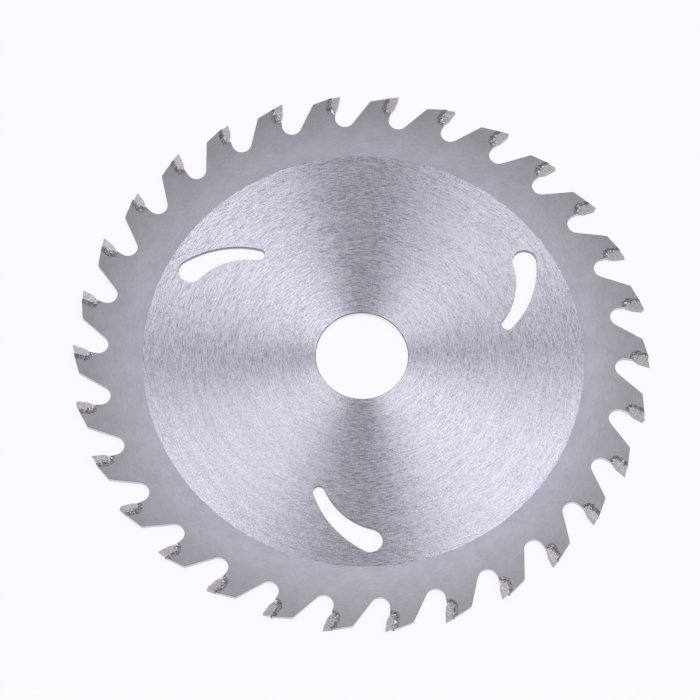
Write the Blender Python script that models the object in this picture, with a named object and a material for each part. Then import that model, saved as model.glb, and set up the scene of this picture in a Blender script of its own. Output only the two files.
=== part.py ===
"""Circular saw blade with thirty brazed tungsten carbide tips.

The steel plate is one cut and ground disc: a bore for the arbor, three comma-shaped expansion
slots, and a gullet and a stepped seat for every tooth. A carbide tip stands in each seat, held by a
film of silver braze that runs out in a hollow fillet on both faces of the plate. The blade turns
clockwise seen from +Z, and neighbouring tips are bevelled to opposite sides.

The origin is on the blade's axis, half way through the plate, and +Z is the axis. Metres.
"""
from math import acos, asin, atan2, cos, pi, radians, sin, sqrt, tan, tau

import bmesh
import bpy
from mathutils import Matrix, Vector

MM = 0.001

# Blade
BLADE_DIAMETER = 125.0 * MM             # over the cutting corners
BORE_DIAMETER = 20.0 * MM
BORE_CHAMFER = 0.15 * MM
FLANGE_DIAMETER = 36.0 * MM             # the clamping flanges bear inside this circle
PLATE_THICKNESS = 1.3 * MM
TOOTH_COUNT = 30
FIRST_TOOTH_ANGLE = radians(90.0)       # the first cutting edge stands at twelve o'clock

# Teeth of the plate
GULLET_DEPTH = 7.67 * MM                # from the cutting circle to the bottom of the gullet
GULLET_RADIUS = 2.15 * MM
GULLET_SETBACK = 1.57 * MM              # how far the gullet undercuts the cutting edge
TOOTH_LAND = 5.93 * MM                  # from the cutting edge back to where the tooth's top ends
BACK_CLEARANCE = radians(17.6)          # fall of the tooth's top towards that end
BACK_DROP = 1.62 * MM                   # that end of the top, below the cutting edge
BACK_CORNER_RADIUS = 0.6 * MM
SEAT_CORNER_RADIUS = 0.4 * MM

# Carbide tips
KERF = 2.0 * MM                         # width across the cutting edge
TIP_THICKNESS = 1.65 * MM
TIP_LENGTH = 3.9 * MM
TIP_PROUD = 0.32 * MM                   # the tip's face in front of the plate below it
TOE_HEIGHT = 1.2 * MM                   # bevel that takes the face back to the plate
HOOK_ANGLE = radians(15.0)
TOP_CLEARANCE = radians(12.0)
TOP_BEVEL = radians(10.0)
SIDE_TAPER_DOWN = radians(1.0)          # the sides close in towards the axis
SIDE_TAPER_BACK = radians(2.0)          # and towards the back of the tip

# Braze
BRAZE_FILM = 0.12 * MM                  # between the tip and its seat
BRAZE_CLEARANCE = 0.05 * MM             # from the braze to the plate
BRAZE_SPREAD = 0.9 * MM                 # run-out on the plate, from the tip
BRAZE_RISE = 0.17 * MM                  # fillet against the tip, over the plate's face
BRAZE_WAIST_RISE = 0.11 * MM            # its hollow middle
BRAZE_RIM_RISE = 0.08 * MM              # its outer edge
BRAZE_WAIST = 0.4 * MM                  # distance of that hollow from the tip
BRAZE_ROOT = 0.1 * MM                   # depth by which the braze grips the carbide
BRAZE_TOP_INSET = 0.5 * MM              # braze below the plate's top, under the tip's low corner
BRAZE_FRONT_INSET = 0.1 * MM            # braze back from the front edge of the plate

# Expansion slots
SLOT_COUNT = 3
SLOT_ANGLE = radians(39.95)             # direction of the first slot's bulb
SLOT_SWEEP = radians(18.7)              # the tail trails the bulb by this angle about the axis
SLOT_RIM_WALL = 9.98 * MM               # metal between the bulb and the gullets
SLOT_DEPTH = 9.56 * MM                  # the tail is this much nearer to the axis
SLOT_BULB_RADIUS = 2.7 * MM
SLOT_TAIL_RADIUS = 1.3 * MM
SLOT_BEND_RADIUS = 18.1 * MM
SLOT_LATE_GROWTH = 0.31                 # share of the widening that comes close to the bulb

# Straight pieces that stand for the round stretches
BORE_STEPS = 96
FLANGE_STEPS = 24
GULLET_STEPS = 12
CORNER_STEPS = 4
SEAT_STEPS = 3
SLOT_SIDE_STEPS = 12
SLOT_END_STEPS = 10
SHARP_ANGLE = radians(30.0)             # faces that meet at less than this are shaded as one surface

CUTTING_RADIUS = BLADE_DIAMETER / 2
HALF_PLATE = PLATE_THICKNESS / 2
TOOTH_PITCH = tau / TOOTH_COUNT
SEAT_GAP = BRAZE_FILM + BRAZE_CLEARANCE


def polar(radius, angle):
    return Vector((radius * cos(angle), radius * sin(angle)))


def turned(point, angle):
    return Matrix.Rotation(angle, 2) @ point


def direction(vector):
    return atan2(vector.y, vector.x)


def arc(centre, radius, start, end, steps):
    """Points on an arc, both ends included."""
    return [centre + polar(radius, start + (end - start) * step / steps) for step in range(steps + 1)]


# Tooth frame: the cutting edge is on the Y axis, at the cutting radius, and cuts towards +X.
# A place on a tip is a distance down its face from the cutting edge, and a distance back from it.

def tooth_point(down, back):
    edge = Vector((0.0, CUTTING_RADIUS))
    face = Vector((sin(HOOK_ANGLE), cos(HOOK_ANGLE)))
    rear = Vector((-cos(HOOK_ANGLE), sin(HOOK_ANGLE)))
    return edge - face * down + rear * back


def tooth_turn(index):
    """Turn that carries the tooth frame to a tooth; teeth are counted clockwise, as the blade runs."""
    return FIRST_TOOTH_ANGLE - pi / 2 - TOOTH_PITCH * index


def plate_top_down(back):
    """How far down a tip's face the plate's sloping top lies, at a distance back from that face."""
    slope = HOOK_ANGLE + BACK_CLEARANCE
    below_edge = BACK_DROP * cos(BACK_CLEARANCE) - TOOTH_LAND * sin(BACK_CLEARANCE)
    return (below_edge + back * sin(slope)) / cos(slope)


def seat_curve(offset, top_inset=0.0, front_inset=0.0):
    """Curve round the back and the foot of a tip, at an offset from the carbide.

    It starts at the plate's top, runs down behind the tip, turns the seat's corner and ends at the
    front. The insets hold its ends back from the plate's edges.
    """
    corner_down = TIP_LENGTH + SEAT_GAP - SEAT_CORNER_RADIUS
    corner_back = TIP_THICKNESS + SEAT_GAP - SEAT_CORNER_RADIUS
    radius = SEAT_CORNER_RADIUS - SEAT_GAP + offset
    curve = [(plate_top_down(TIP_THICKNESS + offset) + top_inset, TIP_THICKNESS + offset)]
    for step in range(SEAT_STEPS + 1):
        angle = pi / 2 * step / SEAT_STEPS
        curve.append((corner_down + radius * sin(angle), corner_back + radius * cos(angle)))
    curve.append((TIP_LENGTH + offset, TIP_PROUD + front_inset))
    return curve


# Steel plate

def gullet_centre():
    return Vector((GULLET_RADIUS - GULLET_SETBACK, CUTTING_RADIUS - GULLET_DEPTH + GULLET_RADIUS))


def back_corner_centre():
    top_end = Vector((-TOOTH_LAND, CUTTING_RADIUS - BACK_DROP))
    return top_end - polar(BACK_CORNER_RADIUS, pi / 2 + BACK_CLEARANCE)


def back_line_angle():
    """Angle on the gullet behind a tooth at which the tooth's straight back touches it.

    The back is the line that touches both the gullet's circle and the back corner's circle, and
    passes between them.
    """
    reach = back_corner_centre() - turned(gullet_centre(), TOOTH_PITCH)
    return direction(reach) - acos((GULLET_RADIUS + BACK_CORNER_RADIUS) / reach.length)


def tooth_outline():
    """The gullet in front of a tooth, its seat, its top and its back corner, in the tooth frame."""
    centre = gullet_centre()
    seat = [tooth_point(down, back) for down, back in reversed(seat_curve(SEAT_GAP))]
    reach = seat[0] - centre
    front_angle = direction(reach) + acos(GULLET_RADIUS / reach.length)
    back_angle = back_line_angle()
    gullet = arc(centre, GULLET_RADIUS, back_angle - TOOTH_PITCH, front_angle - tau, GULLET_STEPS)
    corner = arc(back_corner_centre(), BACK_CORNER_RADIUS, pi / 2 + BACK_CLEARANCE, back_angle + pi,
                 CORNER_STEPS)
    return gullet + seat + corner


def plate_outline():
    tooth = tooth_outline()
    return [turned(point, tooth_turn(-index)) for index in range(TOOTH_COUNT) for point in tooth]


def slot_outline(index):
    """Edge of an expansion slot: the circles that grow along a bend, from its tail to its bulb."""
    turn = SLOT_ANGLE + tau / SLOT_COUNT * index
    bulb_place = CUTTING_RADIUS - GULLET_DEPTH - SLOT_RIM_WALL - SLOT_BULB_RADIUS
    bulb = polar(bulb_place, turn)
    tail = polar(bulb_place - SLOT_DEPTH, turn - SLOT_SWEEP)
    chord = bulb - tail
    height = sqrt(SLOT_BEND_RADIUS ** 2 - chord.length_squared / 4)
    centre = (bulb + tail) / 2 + turned(chord.normalized(), pi / 2) * height
    start = direction(tail - centre)
    bend = 2 * atan2(chord.length / 2, height)
    growth = SLOT_BULB_RADIUS - SLOT_TAIL_RADIUS

    outer = []
    inner = []
    leans = []
    for step in range(SLOT_SIDE_STEPS + 1):
        share = step / SLOT_SIDE_STEPS
        angle = start + bend * share
        place = centre + polar(SLOT_BEND_RADIUS, angle)
        radius = SLOT_TAIL_RADIUS + growth * (share + SLOT_LATE_GROWTH * (share ** 3 - share))
        steepness = growth * (1 + SLOT_LATE_GROWTH * (3 * share ** 2 - 1)) / (SLOT_BEND_RADIUS * bend)
        lean = asin(steepness)
        outer.append(place + polar(radius, angle - lean))
        inner.append(place + polar(radius, angle + lean + pi))
        leans.append(lean)
    end = start + bend
    bulb_end = arc(bulb, SLOT_BULB_RADIUS, end - leans[-1], end + leans[-1] + pi, SLOT_END_STEPS)
    tail_end = arc(tail, SLOT_TAIL_RADIUS, start + leans[0] + pi, start - leans[0] + tau, SLOT_END_STEPS)
    return outer + bulb_end[1:-1] + inner[::-1] + tail_end[1:-1]


def circle_outline(radius, steps):
    return arc(Vector((0.0, 0.0)), radius, 0.0, tau, steps)[:-1]


def add_ring(bm, outline, height):
    """Corners of a closed outline at one height, with the edges between them."""
    corners = [bm.verts.new((point.x, point.y, height)) for point in outline]
    edges = [bm.edges.new(pair) for pair in zip(corners, corners[1:] + corners[:1])]
    return corners, edges


def add_wall(bm, lower, upper):
    """Band of faces between two rings with the same number of corners."""
    count = len(lower)
    for index in range(count):
        following = (index + 1) % count
        bm.faces.new((lower[index], lower[following], upper[following], upper[index]))


def plate_mesh():
    through_cuts = [plate_outline()] + [slot_outline(index) for index in range(SLOT_COUNT)]
    flange = circle_outline(FLANGE_DIAMETER / 2, FLANGE_STEPS)
    bore = circle_outline(BORE_DIAMETER / 2, BORE_STEPS)
    bore_mouth = circle_outline(BORE_DIAMETER / 2 + BORE_CHAMFER, BORE_STEPS)
    bm = bmesh.new()
    rims = []
    for side in (-1, 1):
        face_height = side * HALF_PLATE
        cuts = [add_ring(bm, outline, face_height) for outline in through_cuts]
        seat = add_ring(bm, flange, face_height)
        mouth = add_ring(bm, bore_mouth, face_height)
        throat = add_ring(bm, bore, face_height - side * BORE_CHAMFER)
        for rings in (cuts + [seat], [seat, mouth]):
            edges = [edge for _, ring_edges in rings for edge in ring_edges]
            bmesh.ops.triangle_fill(bm, use_beauty=True, edges=edges, normal=(0, 0, side))
        add_wall(bm, throat[0], mouth[0])
        rims.append([corners for corners, _ in cuts + [throat]])
    for lower, upper in zip(*rims):
        add_wall(bm, lower, upper)
    bmesh.ops.recalc_face_normals(bm, faces=bm.faces)
    return finished_mesh(bm, "saw_plate")


# Carbide tips and their braze, in the tooth frame, with the cutting edge at the origin

def tip_corner(bm, down, back, height):
    point = tooth_point(down, back)
    return bm.verts.new((point.x, point.y - CUTTING_RADIUS, height))


def tip_half_width(down, back):
    return KERF / 2 - down * tan(SIDE_TAPER_DOWN) - back * tan(SIDE_TAPER_BACK)


def tip_top_down(back, same_side):
    """How far down the face the ground top lies, at the side of the high corner (1) or the other (-1).

    The top is a plane that falls backwards by the clearance and sideways by the bevel. It is met
    here with a side, which is a plane too, tapered both ways.
    """
    fall_back = back * tan(HOOK_ANGLE + TOP_CLEARANCE)
    fall_across = (KERF / 2 * (1 - same_side) + same_side * back * tan(SIDE_TAPER_BACK)) * tan(TOP_BEVEL)
    return (fall_back + fall_across) / (1 - same_side * tan(TOP_BEVEL) * tan(SIDE_TAPER_DOWN))


def carbide_mesh(high_side):
    """One tip, with its high corner at the upper (1) or the lower (-1) side."""
    bm = bmesh.new()
    sides = []
    for side in (-1, 1):
        outline = [(tip_top_down(0.0, side * high_side), 0.0), (TIP_LENGTH - TOE_HEIGHT, 0.0),
                   (TIP_LENGTH, TIP_PROUD)]
        outline += reversed(seat_curve(0.0)[1:-1])
        outline.append((tip_top_down(TIP_THICKNESS, side * high_side), TIP_THICKNESS))
        sides.append([tip_corner(bm, down, back, side * tip_half_width(down, back))
                      for down, back in outline])
    for corners in sides:
        bm.faces.new(corners)
    add_wall(bm, sides[0], sides[1])
    bmesh.ops.recalc_face_normals(bm, faces=bm.faces)
    return finished_mesh(bm, "carbide")


def braze_section():
    """Cross-section of the braze: a web behind the tip, between two fillets on the plate's faces."""
    upper = [(-BRAZE_ROOT, HALF_PLATE + BRAZE_RISE),
             (BRAZE_WAIST, HALF_PLATE + BRAZE_WAIST_RISE),
             (BRAZE_SPREAD, HALF_PLATE + BRAZE_RIM_RISE),
             (BRAZE_SPREAD, HALF_PLATE + BRAZE_CLEARANCE),
             (BRAZE_FILM, HALF_PLATE + BRAZE_CLEARANCE)]
    lower = [(offset, -height) for offset, height in reversed(upper)]
    return upper + lower


def braze_mesh():
    """The cross-section carried down the back of the tip, round the seat's corner and under its foot."""
    bm = bmesh.new()
    curves = [(seat_curve(offset, BRAZE_TOP_INSET, BRAZE_FRONT_INSET), height)
              for offset, height in braze_section()]
    stations = []
    for places in zip(*[[(down, back, height) for down, back in curve] for curve, height in curves]):
        stations.append([tip_corner(bm, *place) for place in places])
    for near, far in zip(stations, stations[1:]):
        add_wall(bm, near, far)
    bm.faces.new(stations[0])
    bm.faces.new(stations[-1])
    bmesh.ops.recalc_face_normals(bm, faces=bm.faces)
    for face in bm.faces:
        face.material_index = 1
    return finished_mesh(bm, "braze")


def brazed_tip_mesh(high_side, materials):
    """The tip and its braze as one body."""
    parts = []
    for mesh in (carbide_mesh(high_side), braze_mesh()):
        for material in materials:
            mesh.materials.append(material)
        part = bpy.data.objects.new(mesh.name, mesh)
        bpy.context.scene.collection.objects.link(part)
        parts.append(part)
    tip, braze = parts
    joint = tip.modifiers.new("braze", "BOOLEAN")
    joint.operation = "UNION"
    joint.object = braze
    tip_seen = tip.evaluated_get(bpy.context.evaluated_depsgraph_get())
    mesh = bpy.data.meshes.new_from_object(tip_seen)
    for part in parts:
        bpy.data.objects.remove(part)
    return mesh


# Assembly

def finished_mesh(bm, name):
    mesh = bpy.data.meshes.new(name)
    bm.to_mesh(mesh)
    bm.free()
    mesh.shade_smooth()
    mesh.set_sharp_from_angle(angle=SHARP_ANGLE)
    return mesh


def metal(name, colour, roughness):
    material = bpy.data.materials.new(name)
    material.use_nodes = True
    shader = material.node_tree.nodes["Principled BSDF"]
    shader.inputs["Base Color"].default_value = (*colour, 1.0)
    shader.inputs["Metallic"].default_value = 1.0
    shader.inputs["Roughness"].default_value = roughness
    return material


def place_object(name, mesh, parent):
    placed = bpy.data.objects.new(name, mesh)
    bpy.context.scene.collection.objects.link(placed)
    placed.parent = parent
    return placed


def build_blade():
    steel = metal("ground_steel", (0.62, 0.61, 0.65), 0.35)
    carbide = metal("tungsten_carbide", (0.50, 0.49, 0.48), 0.30)
    braze = metal("silver_braze", (0.30, 0.28, 0.26), 0.45)

    axis = place_object("blade_axis", None, None)
    plate = place_object("saw_plate", plate_mesh(), axis)
    plate.data.materials.append(steel)

    tip_meshes = [brazed_tip_mesh(high_side, (carbide, braze)) for high_side in (1, -1)]
    for index in range(TOOTH_COUNT):
        tip = place_object(f"carbide_tip_{index + 1:02d}", tip_meshes[index % 2], axis)
        turn = tooth_turn(index)
        tip.location = polar(CUTTING_RADIUS, turn + pi / 2).to_3d()
        tip.rotation_euler.z = turn


for old in list(bpy.data.objects):
    bpy.data.objects.remove(old)
build_blade()
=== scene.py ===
"""Looks of a circular saw blade with thirty brazed carbide tips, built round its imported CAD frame.

The sections follow the blade as it is made. The steel plate is cut, blasted and ground, the carbide
tips are ground to shape, and braze holds each in its seat. The blade then lies on a white table
under two soft lamps. Lengths are in metres, through MM, but the braze is shaped in millimetres.
"""
import random
from math import cos, pi, radians, sin, tan

import bmesh
import bpy
from mathutils import Matrix, Vector, noise


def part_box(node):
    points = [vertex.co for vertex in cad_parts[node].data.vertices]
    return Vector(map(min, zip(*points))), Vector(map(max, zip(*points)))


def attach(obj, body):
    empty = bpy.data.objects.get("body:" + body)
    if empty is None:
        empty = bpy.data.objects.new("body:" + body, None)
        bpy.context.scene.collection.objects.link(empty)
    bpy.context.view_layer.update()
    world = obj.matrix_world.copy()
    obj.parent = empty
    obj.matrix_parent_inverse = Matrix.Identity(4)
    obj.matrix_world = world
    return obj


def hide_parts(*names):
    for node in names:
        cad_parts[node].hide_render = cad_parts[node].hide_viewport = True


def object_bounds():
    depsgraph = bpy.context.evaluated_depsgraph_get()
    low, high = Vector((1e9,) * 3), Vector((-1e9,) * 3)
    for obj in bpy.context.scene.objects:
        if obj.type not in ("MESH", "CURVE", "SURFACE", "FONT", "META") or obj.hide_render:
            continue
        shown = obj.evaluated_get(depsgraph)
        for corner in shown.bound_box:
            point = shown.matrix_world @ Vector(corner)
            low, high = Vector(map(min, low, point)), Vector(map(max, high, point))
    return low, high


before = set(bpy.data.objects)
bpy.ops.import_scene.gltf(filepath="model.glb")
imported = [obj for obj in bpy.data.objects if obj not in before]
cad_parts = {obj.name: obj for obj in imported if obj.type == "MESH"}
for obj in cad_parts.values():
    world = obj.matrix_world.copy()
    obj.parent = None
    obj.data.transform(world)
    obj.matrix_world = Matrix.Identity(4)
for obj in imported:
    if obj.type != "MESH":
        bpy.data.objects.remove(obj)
cad_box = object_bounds()
bpy.ops.object.select_all(action="DESELECT")

MM = 0.001


# Steel plate: one disc of hardened tool steel with a bore, three expansion slots and thirty gullets.
# It is laser cut, blasted all over, and ground in fine circles on both faces out to three quarters
# of the radius. The grinding takes off a hair of metal and leaves a faint, uneven step.

EDGE_BREAK = 0.06 * MM                  # the cut edges are broken with a stone
GROUND_RADIUS = 47.76 * MM
GROUND_CENTRE = Vector((0.38, -0.22, 0.0)) * MM   # the disc sat a little off the grinder's centre
GROUND_DEPTH = 0.02 * MM
GROUND_RIM_CORNERS = 1200
GROUND_RIM_WOBBLE = 0.13 * MM
GROUND_RIM_WAVE = 0.8 * MM              # length along the rim of one uneven spot
MERGE = 0.0005 * MM
FLAT_ANGLE = radians(0.5)               # faces that meet at less than this are one flat face
ARC_ANGLE = radians(30)                 # walls that meet at less than this are one round surface
CUT_ANGLE = radians(60)                 # the plate's faces meet a cut wall at more than this

plate_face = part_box("saw_plate")[1].z


def put_in_scene(name, data):
    """A new object at the origin."""
    made = bpy.data.objects.new(name, data)
    bpy.context.scene.collection.objects.link(made)
    return made


def work_on(piece):
    """Makes one object the only one that operators act on."""
    bpy.ops.object.select_all(action="DESELECT")
    piece.select_set(True)
    bpy.context.view_layer.objects.active = piece


def apply_modifiers(piece):
    """Turns all of an object's modifiers into its mesh."""
    work_on(piece)
    for modifier in list(piece.modifiers):
        bpy.ops.object.modifier_apply(modifier=modifier.name)


plate = put_in_scene("steel_plate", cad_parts["saw_plate"].data.copy())
work_on(plate)
bpy.ops.mesh.customdata_custom_splitnormals_clear()
bpy.ops.object.mode_set(mode="EDIT")
bpy.ops.mesh.select_all(action="SELECT")
bpy.ops.mesh.remove_doubles(threshold=MERGE)
bpy.ops.mesh.dissolve_limited(angle_limit=FLAT_ANGLE)
bpy.ops.mesh.select_all(action="DESELECT")
bpy.ops.mesh.select_mode(type="EDGE")
bm = bmesh.from_edit_mesh(plate.data)
for edge in bm.edges:
    on_face = all(abs(abs(corner.co.z) - plate_face) < MERGE for corner in edge.verts)
    edge.select_set(on_face and edge.calc_face_angle(0.0) > CUT_ANGLE)
bmesh.update_edit_mesh(plate.data)
bpy.ops.mesh.bevel(offset=EDGE_BREAK, segments=1, affect="EDGES")
bpy.ops.object.mode_set(mode="OBJECT")

for side in (1, -1):
    bpy.ops.mesh.primitive_cylinder_add(
        vertices=GROUND_RIM_CORNERS, radius=GROUND_RADIUS, depth=2 * GROUND_DEPTH,
        location=GROUND_CENTRE + Vector((0, 0, side * plate_face)))
    grinder = bpy.context.object
    for corner in grinder.data.vertices:
        place = Vector((corner.co.x, corner.co.y, side * GROUND_RADIUS)) / GROUND_RIM_WAVE
        corner.co.xy *= 1 + GROUND_RIM_WOBBLE / GROUND_RADIUS * noise.noise(place)
    cut = plate.modifiers.new("ground_zone", "BOOLEAN")
    cut.operation = "DIFFERENCE"
    cut.object = grinder
    apply_modifiers(plate)
    bpy.data.objects.remove(grinder)


def linear(hex_colour):
    """An sRGB colour such as "C8C3D2" as linear light."""
    channels = [int(hex_colour[place:place + 2], 16) / 255 for place in (0, 2, 4)]
    return [c / 12.92 if c <= 0.04045 else ((c + 0.055) / 1.055) ** 2.4 for c in channels] + [1.0]


def add(tree, kind, inputs=(), **settings):
    """Adds a shader node with its settings, its inputs as values or links, and gives its outputs."""
    made = tree.nodes.new("ShaderNode" + kind)
    for name, value in settings.items():
        setattr(made, name, value)
    for name, value in dict(inputs).items():
        if isinstance(value, bpy.types.NodeSocket):
            tree.links.new(value, made.inputs[name])
        else:
            made.inputs[name].default_value = value
    return made.outputs


def new_material(name):
    """An empty material, its node tree and the place of each point on the piece."""
    material = bpy.data.materials.new(name)
    material.use_nodes = True
    tree = material.node_tree
    tree.nodes.clear()
    return material, tree, add(tree, "TexCoord")["Object"]


def streaks(tree, place, length, width, detail=2.0, seed=0.0):
    """Noise drawn out along circles about the blade's axis, in streaks of that length and width."""
    flat = add(tree, "VectorMath", {0: place, 1: (1, 1, 0)}, operation="MULTIPLY")[0]
    radius = add(tree, "VectorMath", {0: flat}, operation="LENGTH")["Value"]
    across = add(tree, "Math", {0: radius, 1: 1 / width}, operation="MULTIPLY")[0]
    lift = add(tree, "CombineXYZ", {2: across})[0]
    spot = add(tree, "VectorMath", {0: flat, 1: (1 / length,) * 3, 2: lift},
               operation="MULTIPLY_ADD")[0]
    return add(tree, "TexNoise", {"Vector": spot, "W": seed, "Scale": 1.0, "Detail": detail},
               noise_dimensions="4D")[0]


# Ground tool steel: a bright metal under fine circular grinding lines. Light fans out across the
# lines, so the face shows four dark sectors that stand still in the room when the blade turns. The
# real lines are a few hundredths of a millimetre wide, and are drawn several times as coarse.
GROUND_LINE = (1.6 * MM, 0.18 * MM)     # length and width of one line, as drawn
GROUND_BAND = (9.0 * MM, 0.9 * MM)      # and of the bands of lighter and darker lines
STRAY_LINE = (1.4 * MM, 0.21 * MM)      # and of a line that leans out of its circle
STRAY_LEAN = 0.5                        # from those that lean most inwards to the most outwards
GROUND_GRAIN = 0.24 * MM
GROUND_RELIEF = 0.01 * MM               # depth of the lines
ground, tree, place = new_material("ground_tool_steel")
dashes = streaks(tree, place, *GROUND_LINE, detail=1.0)
grain = add(tree, "TexNoise", {"Vector": place, "Scale": 1 / GROUND_GRAIN, "Detail": 1.0})[0]
broad = streaks(tree, place, *GROUND_BAND)
tone = 0.0
for pattern, share in ((dashes, 0.55), (grain, 0.33), (broad, 0.12)):
    tone = add(tree, "Math", {0: pattern, 1: share, 2: tone}, operation="MULTIPLY_ADD")[0]
tone = add(tree, "MapRange", {"Value": tone, "From Min": 0.39, "From Max": 0.61})[0]
colour = add(tree, "Mix", {0: tone, 6: linear("B1ADC2"), 7: linear("F8F2FF")}, data_type="RGBA")[2]
rough = add(tree, "MapRange", {"Value": dashes, "From Min": 0.36, "From Max": 0.64,
                               "To Min": 0.27, "To Max": 0.49})[0]
across = add(tree, "VectorMath", {0: place, 1: (1, 1, 0)}, operation="MULTIPLY")[0]
along = add(tree, "VectorMath", {0: (0, 0, 1), 1: across}, operation="CROSS_PRODUCT")[0]
stray = streaks(tree, place, *STRAY_LINE, detail=1.0, seed=5.0)
stray = add(tree, "Math", {0: stray, 1: STRAY_LEAN, 2: -STRAY_LEAN / 2},
            operation="MULTIPLY_ADD")[0]
sideways = add(tree, "VectorMath", {0: along, "Scale": stray}, operation="SCALE")[0]
spread = add(tree, "VectorMath", {0: across, 1: sideways}, operation="ADD")[0]
bump = add(tree, "Bump", {"Height": dashes, "Strength": 0.25, "Distance": GROUND_RELIEF})[0]
shader = add(tree, "BsdfPrincipled", {"Base Color": colour, "Metallic": 1.0, "Roughness": rough,
                                      "Anisotropic": 1.0, "Tangent": spread, "Normal": bump})[0]
add(tree, "OutputMaterial", {"Surface": shader})

# Blasted tool steel: the matt grey of fine grit over faint lathe lines, a little duller and less
# blue towards the teeth, where the flame went round each tip.
GRIT = 0.28 * MM                        # size of one dent
GRIT_RELIEF = 0.01 * MM
LATHE_LINE = (1.3 * MM, 0.35 * MM)      # length and width of what is left of one
CLOUD = 4.0 * MM                        # size of a spot that was blasted more or less
FLAME_START, FLAME_FULL = 50.0 * MM, 59.5 * MM   # radii between which the steel grows duller
blasted, tree, place = new_material("blasted_tool_steel")
grit = add(tree, "TexNoise", {"Vector": place, "Scale": 1 / GRIT, "Detail": 2.0})[0]
turned = streaks(tree, place, *LATHE_LINE, detail=1.0)
cloud = add(tree, "TexNoise", {"Vector": place, "Scale": 1 / CLOUD, "Detail": 3.0})[0]
radius = add(tree, "VectorMath", {0: place}, operation="LENGTH")["Value"]
flame = add(tree, "MapRange", {"Value": radius, "From Min": FLAME_START,
                               "From Max": FLAME_FULL})[0]
colour = add(tree, "Mix", {0: flame, 6: linear("B7B3C0"), 7: linear("A29EA6")}, data_type="RGBA")[2]
tone = 0.0
for pattern, share in ((turned, 0.35), (grit, 0.3), (cloud, 0.35)):
    tone = add(tree, "Math", {0: pattern, 1: share, 2: tone}, operation="MULTIPLY_ADD")[0]
tone = add(tree, "MapRange", {"Value": tone, "From Min": 0.37, "From Max": 0.63})[0]
shade = add(tree, "Mix", {0: tone, 6: linear("EBEBEB"), 7: linear("FFFFFF")}, data_type="RGBA")[2]
colour = add(tree, "Mix", {0: 1.0, 6: colour, 7: shade}, data_type="RGBA", blend_type="MULTIPLY")[2]
rough = add(tree, "MapRange", {"Value": grit, "To Min": 0.51, "To Max": 0.57})[0]
bump = add(tree, "Bump", {"Height": grit, "Strength": 0.12, "Distance": GRIT_RELIEF})[0]
shader = add(tree, "BsdfPrincipled", {"Base Color": colour, "Metallic": 1.0, "Roughness": rough,
                                      "Normal": bump})[0]
add(tree, "OutputMaterial", {"Surface": shader})

# Cut walls: the beam stripes them through their thickness. The slots keep the dark oxide of the
# cut where the beam went in and are cleaner where it came out, the blast has cleaned the teeth and
# gullets, and the bore is reamed bright, with painted shade in a dark line below each broken edge.
STRIPE = 0.12 * MM                      # width of one stripe along the cut
STRIPE_RELIEF = 0.01 * MM
OXIDE_START, OXIDE_FULL = -0.35 * MM, 0.05 * MM   # heights between which a slot's wall darkens
EDGE_SHADE_DEPTH = 0.16 * MM                   # depth below each face to which painted shade darkens a bore edge
EDGE_SHADE_BLUR = 0.05 * MM                   # each way from there
# Each wall's name, its darkest and lightest colour, how much finer its pattern is through the plate
# than along the cut, where less than 1 is a stripe through it, and its roughness.
WALLS = (("laser_cut_slots", "6A6670", "A29EA6", 0.08, 0.5),
         ("blasted_tooth_edges", "C8C4CC", "E4E0E8", 0.15, 0.45),
         ("reamed_bore_with_painted_edge_shade", "DEDCE2", "F0EEF4", 12.0, 0.2))
walls = []
for name, dark, light, fineness, roughness in WALLS:
    wall, tree, place = new_material(name)
    stripe = add(tree, "VectorMath", {0: place, 1: (1, 1, fineness)}, operation="MULTIPLY")[0]
    stripe = add(tree, "TexNoise", {"Vector": stripe, "Scale": 1 / STRIPE, "Detail": 2.0})[0]
    colour = add(tree, "Mix", {0: stripe, 6: linear(dark), 7: linear(light)}, data_type="RGBA")[2]
    height = add(tree, "SeparateXYZ", {0: place})[2]
    if name == "laser_cut_slots":
        oxide = add(tree, "MapRange", {"Value": height, "From Min": OXIDE_START,
                                       "From Max": OXIDE_FULL})[0]
        colour = add(tree, "Mix", {0: oxide, 6: linear("D2CED6"), 7: colour}, data_type="RGBA")[2]
    # painted shade: a dark line below each of the bore's two broken edges
    if name == "reamed_bore_with_painted_edge_shade":
        height = add(tree, "Math", {0: height}, operation="ABSOLUTE")[0]
        edge = add(tree, "MapRange", {"Value": height,
                                      "From Min": plate_face - EDGE_SHADE_DEPTH - EDGE_SHADE_BLUR,
                                      "From Max": plate_face - EDGE_SHADE_DEPTH + EDGE_SHADE_BLUR})[0]
        colour = add(tree, "Mix", {0: edge, 6: colour, 7: linear("6E6972")}, data_type="RGBA")[2]
    bump = add(tree, "Bump", {"Height": stripe, "Strength": 0.4, "Distance": STRIPE_RELIEF})[0]
    shader = add(tree, "BsdfPrincipled", {"Base Color": colour, "Metallic": 1.0,
                                          "Roughness": roughness, "Normal": bump})[0]
    add(tree, "OutputMaterial", {"Surface": shader})
    walls.append(wall)

BORE_REACH = 10.3 * MM                  # the bore and its chamfer lie inside this radius
TEETH_REACH = 53.0 * MM                 # the teeth and gullets lie outside this radius
STEEP, FLAT = 0.5, 0.999                # a wall's normal is less upright, and a face's more

slot_walls, tooth_walls, bore_walls = walls
finishes = [ground, blasted, *walls]
plate.data.materials.clear()
for material in finishes:
    plate.data.materials.append(material)
work_on(plate)
bpy.ops.object.shade_smooth_by_angle(angle=ARC_ANGLE)
for polygon in plate.data.polygons:
    level = abs(polygon.normal.z)
    reach = max(plate.data.vertices[corner].co.xy.length for corner in polygon.vertices)
    if reach < BORE_REACH:
        finish = bore_walls
    elif level < STEEP:
        finish = tooth_walls if reach > TEETH_REACH else slot_walls
    elif level > FLAT and abs(polygon.center.z) < plate_face - GROUND_DEPTH / 2:
        finish = ground
    else:
        finish = blasted
    polygon.material_index = finishes.index(finish)
    if level > FLAT:
        polygon.use_smooth = False
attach(plate, "root")
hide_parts("saw_plate")


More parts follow.
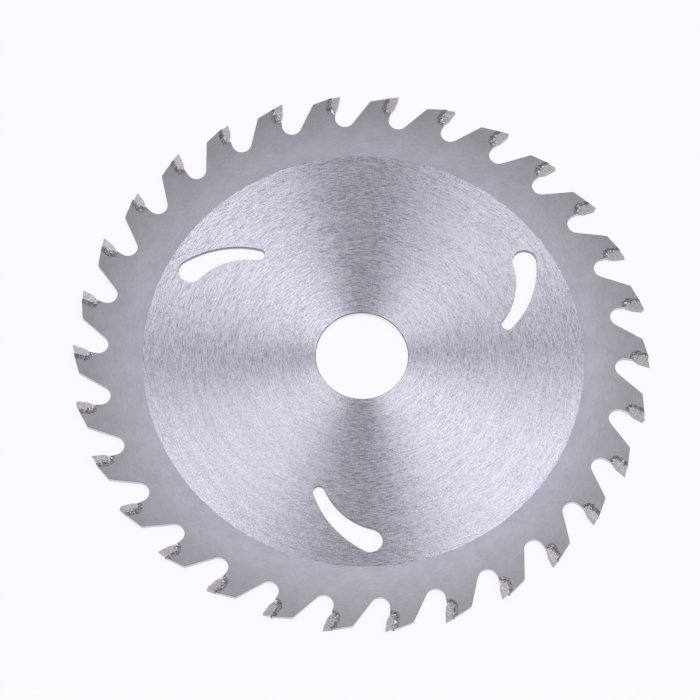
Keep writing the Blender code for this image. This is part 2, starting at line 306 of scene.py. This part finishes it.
# Carbide tips: thirty small blocks of sintered tungsten carbide, ground on the face, the top and
# both sides. The top falls backwards and to one side, and neighbours fall to opposite sides.
TOOTH_COUNT = 30
PITCH = 2 * pi / TOOTH_COUNT
CUTTING_RADIUS = 62.5 * MM
KERF = 2.0 * MM
TIP_THICKNESS = 1.65 * MM
TIP_LENGTH = 3.9 * MM
TIP_PROUD = 0.32 * MM                   # the tip's face in front of the plate below it
TOE_HEIGHT = 1.3 * MM                   # bevel that takes the face back towards the plate
TOE_DEPTH = 0.41 * MM
HEEL_RADIUS = 0.23 * MM
HOOK_ANGLE = radians(15)
TOP_FALL = radians(27)                  # against the face's normal: hook and clearance together
TOP_BEVEL = radians(10)
TAPER_DOWN = radians(1)
TAPER_BACK = radians(2)
TIP_EDGE = 0.03 * MM
FLAT_AREA = 0.3 * MM ** 2               # ground faces are larger than this, and edges smaller
TIP_BORDER = 0.25                       # share of the pitch before an edge at which its part ends


def block(middle, size):
    """A plain block, with its place in its mesh, as the start of a piece."""
    bpy.ops.mesh.primitive_cube_add(size=1.0, location=middle, scale=size)
    bpy.ops.object.transform_apply(location=True, rotation=True, scale=True)
    return bpy.context.object


def cut_off(point, normal):
    """Cuts off all of the block in edit mode that lies beyond a plane, and closes it."""
    bpy.ops.mesh.select_all(action="SELECT")
    bpy.ops.mesh.bisect(plane_co=point, plane_no=normal, use_fill=True, clear_outer=True,
                        threshold=MERGE)


def stands_at(edge, spot, reach):
    """Whether an edge stands upright at a spot, within that reach."""
    return all((corner.co.xy - spot).length < reach for corner in edge.verts)


def bevel_edges(piece, chosen, width, segments):
    """Bevels the edges of a block in edit mode that a test picks."""
    bpy.ops.mesh.select_all(action="DESELECT")
    bm = bmesh.from_edit_mesh(piece.data)
    for edge in bm.edges:
        edge.select_set(chosen(edge))
    bmesh.update_edit_mesh(piece.data)
    bpy.ops.mesh.bevel(offset=width, segments=segments, affect="EDGES")


def ground_tip(high_side):
    """A tip with its high corner at the upper (1) or lower (-1) side.

    The cutting edge is at the origin, the face looks along +X and the tip reaches down along -Y.
    """
    tip = block((-TIP_THICKNESS / 2, -TIP_LENGTH / 2, 0), (TIP_THICKNESS, TIP_LENGTH, KERF))
    bpy.ops.object.mode_set(mode="EDIT")
    for side in (1, -1):
        cut_off((0, 0, side * KERF / 2), (-tan(TAPER_BACK), -tan(TAPER_DOWN), side))
    cut_off((0, 0, high_side * KERF / 2), (-tan(TOP_FALL), 1, -high_side * tan(TOP_BEVEL)))
    cut_off((0, TOE_HEIGHT - TIP_LENGTH, 0), (TOE_HEIGHT, -TOE_DEPTH, 0))
    bpy.ops.mesh.select_mode(type="EDGE")
    heel = Vector((-TIP_THICKNESS, -TIP_LENGTH))
    bevel_edges(tip, lambda edge: stands_at(edge, heel, TIP_EDGE), HEEL_RADIUS, segments=4)
    bevel_edges(tip, lambda edge: edge.calc_face_angle(0.0) > ARC_ANGLE, TIP_EDGE, segments=2)
    bpy.ops.object.mode_set(mode="OBJECT")
    for polygon in tip.data.polygons:
        polygon.use_smooth = polygon.area < FLAT_AREA
    return tip


def on_tooth(index):
    """Carries a tip or its braze from the origin to its tooth; teeth count clockwise from +Y."""
    return (Matrix.Rotation(-PITCH * index, 4, "Z") @ Matrix.Translation((0, CUTTING_RADIUS, 0))
            @ Matrix.Rotation(-HOOK_ANGLE, 4, "Z"))


def tip_frame(tree, place):
    """Shader nodes that carry a point to the frame of its own tip, with the turn that did it."""
    parts = add(tree, "SeparateXYZ", {0: place})
    angle = add(tree, "Math", {0: parts[0], 1: parts[1]}, operation="ARCTAN2")[0]
    count = add(tree, "Math", {0: angle, 1: 1 / PITCH, 2: TIP_BORDER}, operation="MULTIPLY_ADD")[0]
    count = add(tree, "Math", {0: count}, operation="ROUND")[0]
    turn = add(tree, "Math", {0: count, 1: PITCH}, operation="MULTIPLY")[0]
    upright = add(tree, "VectorRotate", {"Vector": place, "Angle": turn}, rotation_type="Z_AXIS")[0]
    moved = add(tree, "VectorMath", {0: upright, 1: (0, -CUTTING_RADIUS, 0)}, operation="ADD")[0]
    spot = add(tree, "VectorRotate", {"Vector": moved, "Angle": HOOK_ANGLE},
               rotation_type="Z_AXIS")[0]
    return spot, turn


# Ground carbide: a dense pale metal, mottled at a fine scale by its binder and by chipped grains.
# The wheel's lines run from the face of each tip to its back, and spread the light towards the
# plate and away. They are drawn several times as coarse as the real ones to show.
WHEEL_LINE = (0.5556 * MM, 0.1667 * MM, 0.3333 * MM)   # from face to back, down the tip, and across
MOTTLE = 0.42 * MM
CARBIDE_RELIEF = 0.01 * MM
carbide, tree, place = new_material("ground_carbide")
spot, turn = tip_frame(tree, place)
lines = add(tree, "Mapping", {"Vector": spot, "Scale": [1 / size for size in WHEEL_LINE]})[0]
lines = add(tree, "TexNoise", {"Vector": lines, "Scale": 1.0, "Detail": 2.0})[0]
mottle = add(tree, "TexNoise", {"Vector": place, "Scale": 1 / MOTTLE, "Detail": 3.0})[0]
tone = 0.0
for pattern, share in ((lines, 0.45), (mottle, 0.55)):
    tone = add(tree, "Math", {0: pattern, 1: share, 2: tone}, operation="MULTIPLY_ADD")[0]
tone = add(tree, "MapRange", {"Value": tone, "From Min": 0.35, "From Max": 0.65})[0]
colour = add(tree, "Mix", {0: tone, 6: linear("B0ABB0"), 7: linear("E6E1E7")}, data_type="RGBA")[2]
spread = add(tree, "VectorRotate", {"Vector": (0.0, 1.0, 0.0), "Angle": turn},
             rotation_type="Z_AXIS", invert=True)[0]
bump = add(tree, "Bump", {"Height": tone, "Strength": 0.4, "Distance": CARBIDE_RELIEF})[0]
shader = add(tree, "BsdfPrincipled", {"Base Color": colour, "Metallic": 1.0, "Roughness": 0.62,
                                      "Anisotropic": 0.8, "Tangent": spread, "Normal": bump})[0]
add(tree, "OutputMaterial", {"Surface": shader})

patterns = [ground_tip(1), ground_tip(-1)]
for index in range(TOOTH_COUNT):
    tip = put_in_scene(f"tip_{index + 1:02d}", patterns[index % len(patterns)].data.copy())
    tip.data.transform(on_tooth(index))
    tip.data.materials.append(carbide)
    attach(tip, "root")
    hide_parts(f"carbide_tip_{index + 1:02d}")
for pattern in patterns:
    bpy.data.objects.remove(pattern)


# Braze: silver solder that ran round the back and the foot of each tip and froze in uneven lumps
# against the step between the carbide and the plate, on both faces, dark with burnt flux. It is
# shaped in millimetres and brought to size on its tooth, because remeshing has a least grain.
BRAZE_SEED = 11
BRAZE_PATTERNS = 6
FACE = plate_face / MM
SEAT = [Vector(place) for place in ((-0.4, -3.9), (-1.42, -3.9), (-1.58, -3.83), (-1.65, -3.67),
                                    (-1.65, -0.9))]   # under the foot, round the heel, up the back
SEAT_RUN = 4.1                          # length of that path that carries braze
BEAD_STEP = 0.3                         # along the seat, between the middles of two beads
# Rows of beads along the seat: how far out from the tip, radius, rise over the plate, and the share
# of them that is there. The larger blobs have their distance along the seat in front of that.
BEAD_ROWS = ((-0.3, 0.27, 0.31, 1.0), (-0.02, 0.32, 0.28, 1.0), (0.27, 0.34, 0.2, 1.0),
             (0.52, 0.34, 0.12, 1.0), (0.7, 0.28, 0.08, 0.8))
BLOBS = ((3.5, 0.4, 0.5, 0.2), (1.45, -0.05, 0.5, 0.27), (1.6, 0.5, 0.45, 0.18),
         (0.2, 0.15, 0.26, 0.2))
SHIFT_ALONG, SHIFT_OUT = 0.1, 0.06      # by which a bead may lie off its place
BEAD_SIZES = (0.85, 1.15)               # least and most of its radius
BEAD_RISES = (0.6, 1.15)                # of its rise
BEAD_OVALS = (0.8, 1.1)                 # and of its width for its length
BRAZE_GRAIN = 0.07                      # size of a face of the frozen skin
BRAZE_SINK = 0.08                       # depth by which it goes on inside the plate
BRAZE_TOP = 0.96                        # it stays below the carbide's sides
BRAZE_LEAST = 0.01                      # its least height over the plate
BRAZE_FRONT = -TIP_PROUD / MM - 0.06    # it ends a hair behind the plate's front
BEAD_TOP_GAP = 0.05                     # and this much below the plate's top
PLATE_TOP = -0.76                       # height of the plate's top where the tip's back meets it
PLATE_TOP_FALL = tan(radians(32.6))
LUMP_SIZE = 0.6
LUMP_SHARE = 1.2                        # by which the lumps make the braze higher or lower
WEB_REACH = 0.19                        # from the tip over the gap of 0.17 and into the plate
WEB_CORNER = 0.4
WEB_TOP_GAP = 0.2                       # it ends this much below the plate's top
WEB_RECESS = 0.01                       # and this much below its faces
BRAZE_ANGLE = radians(45)               # skin that meets at less than this is smooth


def beside_seat(distance, out):
    """A point so far along the seat, from the front of the foot, and so far out from the tip."""
    for start, end in zip(SEAT, SEAT[1:]):
        run = end - start
        if distance <= run.length or end == SEAT[-1]:
            heading = run.normalized()
            return start + heading * distance + Vector((-heading.y, heading.x)) * out
        distance -= run.length


def braze_beads(side):
    """The beads on one face of the plate (1 or -1), grown together into one frozen run."""
    places = list(BLOBS)
    for step in range(int(SEAT_RUN / BEAD_STEP) + 1):
        for out, radius, rise, share in BEAD_ROWS:
            if random.random() < share:
                places.append((step * BEAD_STEP, out, radius, rise))
    beads = []
    for distance, out, radius, rise in places:
        spot = beside_seat(distance + random.uniform(-SHIFT_ALONG, SHIFT_ALONG),
                           out + random.uniform(-SHIFT_OUT, SHIFT_OUT))
        radius *= random.uniform(*BEAD_SIZES)
        rise *= random.uniform(*BEAD_RISES)
        bpy.ops.mesh.primitive_ico_sphere_add(
            subdivisions=2, radius=1.0, location=(spot.x, spot.y, side * (FACE - BRAZE_SINK)),
            scale=(radius, radius * random.uniform(*BEAD_OVALS), rise + BRAZE_SINK))
        beads.append(bpy.context.object)
    for bead in beads:
        bead.select_set(True)
    bpy.ops.object.join()
    run = bpy.context.object
    bpy.ops.object.transform_apply(location=True, rotation=True, scale=True)
    skin = run.modifiers.new("skin", "REMESH")
    skin.mode = "VOXEL"
    skin.voxel_size = BRAZE_GRAIN
    soften = run.modifiers.new("soften", "SMOOTH")
    soften.factor = 0.5
    soften.iterations = 4
    apply_modifiers(run)
    bpy.ops.object.mode_set(mode="EDIT")
    cut_off((0, 0, side * (FACE - BRAZE_SINK / 2)), (0, 0, -side))
    cut_off((BRAZE_FRONT, 0, 0), (1, 0, 0))
    cut_off((SEAT[-1].x, PLATE_TOP - BEAD_TOP_GAP, 0), (-PLATE_TOP_FALL, 1, 0))
    bpy.ops.object.mode_set(mode="OBJECT")
    return run


def braze_web():
    """The film behind and under the tip, as a block that the carbide fills up to that film."""
    low = Vector((SEAT[-1].x - WEB_REACH, SEAT[0].y - WEB_REACH))
    high = Vector((BRAZE_FRONT, PLATE_TOP - WEB_TOP_GAP))
    middle, size = (low + high) / 2, high - low
    web = block((middle.x, middle.y, 0), (size.x, size.y, 2 * (FACE - WEB_RECESS)))
    bpy.ops.object.mode_set(mode="EDIT")
    bpy.ops.mesh.select_mode(type="EDGE")
    bevel_edges(web, lambda edge: stands_at(edge, low, WEB_CORNER), WEB_CORNER, segments=5)
    bpy.ops.object.mode_set(mode="OBJECT")
    return web


# Silver braze: a soft white metal that froze rough, most of it under a dark skin of burnt flux, with
# clean metal where the flux chipped off. Away from the tip, behind its top and round its heel, the
# dark flux colour is partly painted shade of the fillet; the pale silver half way up its back and
# under its foot's front is partly clean metal and partly painted highlight.
CHIP = 0.5 * MM                         # size of a spot without flux
SPECKLE = 0.3 * MM
BRAZE_RELIEF = 0.02 * MM
FLUX_AND_SHADE_START, FLUX_AND_SHADE_FULL = 0.1 * MM, 0.6 * MM       # from the tip, where dark flux, partly painted shade of the fillet, begins and is full
FOOT_START = -0.5 * MM                  # so far above the foot the pale silver under it begins: clean metal and painted highlight
FRONT_START, FRONT_FULL = -1.5 * MM, -1.0 * MM   # so far behind the face it begins and is full
BACK_MIDDLE = -2.3 * MM                 # middle of the pale stretch of the back, below the edge: clean metal and painted highlight
BACK_HALF = 0.5 * MM                    # and half its length
braze_metal, tree, place = new_material("silver_braze_flux_and_painted_light")
spot, _ = tip_frame(tree, place)
parts = add(tree, "SeparateXYZ", {0: spot})
behind = add(tree, "Math", {0: -TIP_THICKNESS, 1: parts[0]}, operation="SUBTRACT")[0]
under = add(tree, "Math", {0: -TIP_LENGTH, 1: parts[1]}, operation="SUBTRACT")[0]
# darker away from the tip: flux, and partly painted shade of the fillet
out = add(tree, "Math", {0: behind, 1: under}, operation="MAXIMUM")[0]
out = add(tree, "MapRange", {"Value": out, "From Min": FLUX_AND_SHADE_START, "From Max": FLUX_AND_SHADE_FULL,
                             "To Min": 0.0, "To Max": -0.16})[0]
# paler at the foot's front and half way up the back: clean metal, and partly painted highlight
foot = add(tree, "MapRange", {"Value": under, "From Min": FOOT_START, "From Max": 0.0,
                              "To Max": 0.12})[0]
front = add(tree, "MapRange", {"Value": parts[0], "From Min": FRONT_START,
                               "From Max": FRONT_FULL})[0]
foot = add(tree, "Math", {0: foot, 1: front}, operation="MULTIPLY")[0]
back = add(tree, "Math", {0: parts[1], 1: BACK_MIDDLE, 2: BACK_HALF}, operation="COMPARE")[0]
bare_and_lit = add(tree, "Math", {0: back, 1: 0.07, 2: out}, operation="MULTIPLY_ADD")[0]
bare_and_lit = add(tree, "Math", {0: bare_and_lit, 1: foot}, operation="ADD")[0]
chip = add(tree, "TexNoise", {"Vector": place, "Scale": 1 / CHIP, "Detail": 2.0})[0]
bare_and_lit = add(tree, "Math", {0: chip, 1: bare_and_lit}, operation="ADD")[0]
clean_and_lit = add(tree, "MapRange", {"Value": bare_and_lit, "From Min": 0.56, "From Max": 0.66})[0]
speckle = add(tree, "TexNoise", {"Vector": place, "Scale": 1 / SPECKLE, "Detail": 2.0})[0]
speckle = add(tree, "MapRange", {"Value": speckle, "From Min": 0.3, "From Max": 0.7})[0]
flux = add(tree, "Mix", {0: speckle, 6: linear("635E65"), 7: linear("9E99A0")}, data_type="RGBA")[2]
silver = add(tree, "Mix", {0: speckle, 6: linear("BDB8BB"), 7: linear("FBF8FA")},
             data_type="RGBA")[2]
colour = add(tree, "Mix", {0: clean_and_lit, 6: flux, 7: silver}, data_type="RGBA")[2]
metal = add(tree, "MapRange", {"Value": clean_and_lit, "To Min": 0.7, "To Max": 1.0})[0]
rough = add(tree, "MapRange", {"Value": speckle, "To Min": 0.36, "To Max": 0.52})[0]
bump = add(tree, "Bump", {"Height": speckle, "Strength": 0.4, "Distance": BRAZE_RELIEF})[0]
shader = add(tree, "BsdfPrincipled", {"Base Color": colour, "Metallic": metal, "Roughness": rough,
                                      "Normal": bump})[0]
add(tree, "OutputMaterial", {"Surface": shader})

random.seed(BRAZE_SEED)
patterns = []
for _ in range(BRAZE_PATTERNS):
    pieces = [braze_beads(1), braze_beads(-1), braze_web()]
    for piece in pieces:
        piece.select_set(True)
    bpy.ops.object.join()
    patterns.append(bpy.context.object)
for index in range(TOOTH_COUNT):
    braze = put_in_scene(f"braze_{index + 1:02d}", patterns[index % BRAZE_PATTERNS].data.copy())
    own_lumps = Vector((7.0 * index, 0, 0))
    for corner in braze.data.vertices:
        lump = noise.noise(corner.co / LUMP_SIZE + own_lumps)
        height = abs(corner.co.z) - FACE
        if height > 0:
            height = min(height * (1 + LUMP_SHARE * lump), BRAZE_TOP - FACE)
            corner.co.z = (FACE + max(height, BRAZE_LEAST)) * (1 if corner.co.z > 0 else -1)
    braze.data.transform(on_tooth(index) @ Matrix.Scale(MM, 4))
    braze.data.materials.append(braze_metal)
    work_on(braze)
    bpy.ops.object.shade_smooth_by_angle(angle=BRAZE_ANGLE)
    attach(braze, "root")
    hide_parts(f"carbide_tip_{index + 1:02d}")
for pattern in patterns:
    bpy.data.objects.remove(pattern)


# Floor: a white table that the blade lies on. The camera and the metal see it evenly white, with
# the blade's own soft shadow left in it.
TABLE_SIZE = 4.0
EVEN_WHITE = 0.86                       # share of what they see of it that is even
EVEN_STRENGTH = 1.035
table_height = cad_box[0].z
bpy.ops.mesh.primitive_plane_add(size=TABLE_SIZE, location=(0, 0, table_height))
table = bpy.context.object
table.name = "table"
white, tree, place = new_material("white_table")
rays = add(tree, "LightPath")
seen = add(tree, "Math", {0: rays["Is Camera Ray"], 1: rays["Is Glossy Ray"]}, operation="ADD")[0]
seen = add(tree, "Math", {0: seen, 1: rays["Is Transmission Ray"]}, operation="ADD",
           use_clamp=True)[0]
share = add(tree, "Math", {0: seen, 1: EVEN_WHITE}, operation="MULTIPLY")[0]
paper = add(tree, "BsdfDiffuse", {"Color": linear("FAF8FC")})[0]
glow = add(tree, "Emission", {"Color": linear("FCFAFE"), "Strength": EVEN_STRENGTH})[0]
mixed = add(tree, "MixShader", {0: share, 1: paper, 2: glow})[0]
add(tree, "OutputMaterial", {"Surface": mixed})
table.data.materials.append(white)


# Light: two large round soft lamps high over the table, one to the left and one to the right, in a
# pale room. Each has its direction and height and half its width in degrees, and its watts.
LAMPS = (("left_lamp", 167, 72, 14, 2.54), ("right_lamp", 14, 65, 19, 4.55))
LAMP_DISTANCE = 1.2
ROOM_LIGHT = 0.41
for name, azimuth, height, half_width, power in LAMPS:
    lamp = bpy.data.lights.new(name, "AREA")
    lamp.shape = "DISK"
    lamp.size = 2 * LAMP_DISTANCE * tan(radians(half_width))
    lamp.energy = power
    towards = Vector((cos(radians(azimuth)) * cos(radians(height)),
                      sin(radians(azimuth)) * cos(radians(height)), sin(radians(height))))
    stand = put_in_scene(name, lamp)
    stand.location = towards * LAMP_DISTANCE
    stand.rotation_euler = towards.to_track_quat("Z", "Y").to_euler()

room = bpy.data.worlds.new("pale_room")
bpy.context.scene.world = room
room.use_nodes = True
tree = room.node_tree
tree.nodes.clear()
rays = add(tree, "LightPath")
dim = add(tree, "Background", {"Color": linear("FFFFFF"), "Strength": ROOM_LIGHT})[0]
bright = add(tree, "Background", {"Color": linear("FCFAFE"), "Strength": 1.0})[0]
mixed = add(tree, "MixShader", {0: rays["Is Camera Ray"], 1: dim, 2: bright})[0]
add(tree, "OutputWorld", {"Surface": mixed})


# Camera: it looks down on the blade from a little in front, as the photograph does.
CAMERA_AZIMUTH = radians(3.9557)
CAMERA_HEIGHT = radians(67.9768)
CAMERA_DISTANCE = 762.44 * MM
CAMERA_ROLL = radians(3.8865)
LENS, SENSOR = 181.210, 36              # both in mm
FRAME_PIXELS = 700
BLADE_SHIFT = (11.895, 6.635)           # pixels from the centre to the blade, right and down
back = Vector((sin(CAMERA_AZIMUTH) * cos(CAMERA_HEIGHT), -cos(CAMERA_AZIMUTH) * cos(CAMERA_HEIGHT),
               sin(CAMERA_HEIGHT)))
camera = put_in_scene("camera", bpy.data.cameras.new("camera"))
camera.data.lens = LENS
camera.data.sensor_width = SENSOR
camera.data.shift_x = -BLADE_SHIFT[0] / FRAME_PIXELS
camera.data.shift_y = BLADE_SHIFT[1] / FRAME_PIXELS
camera.location = back * CAMERA_DISTANCE
camera.rotation_euler = ((-back).to_track_quat("-Z", "Y").to_matrix()
                         @ Matrix.Rotation(CAMERA_ROLL, 3, "Z")).to_euler()
bpy.context.scene.camera = camera
bpy.context.scene.view_settings.view_transform = "Standard"
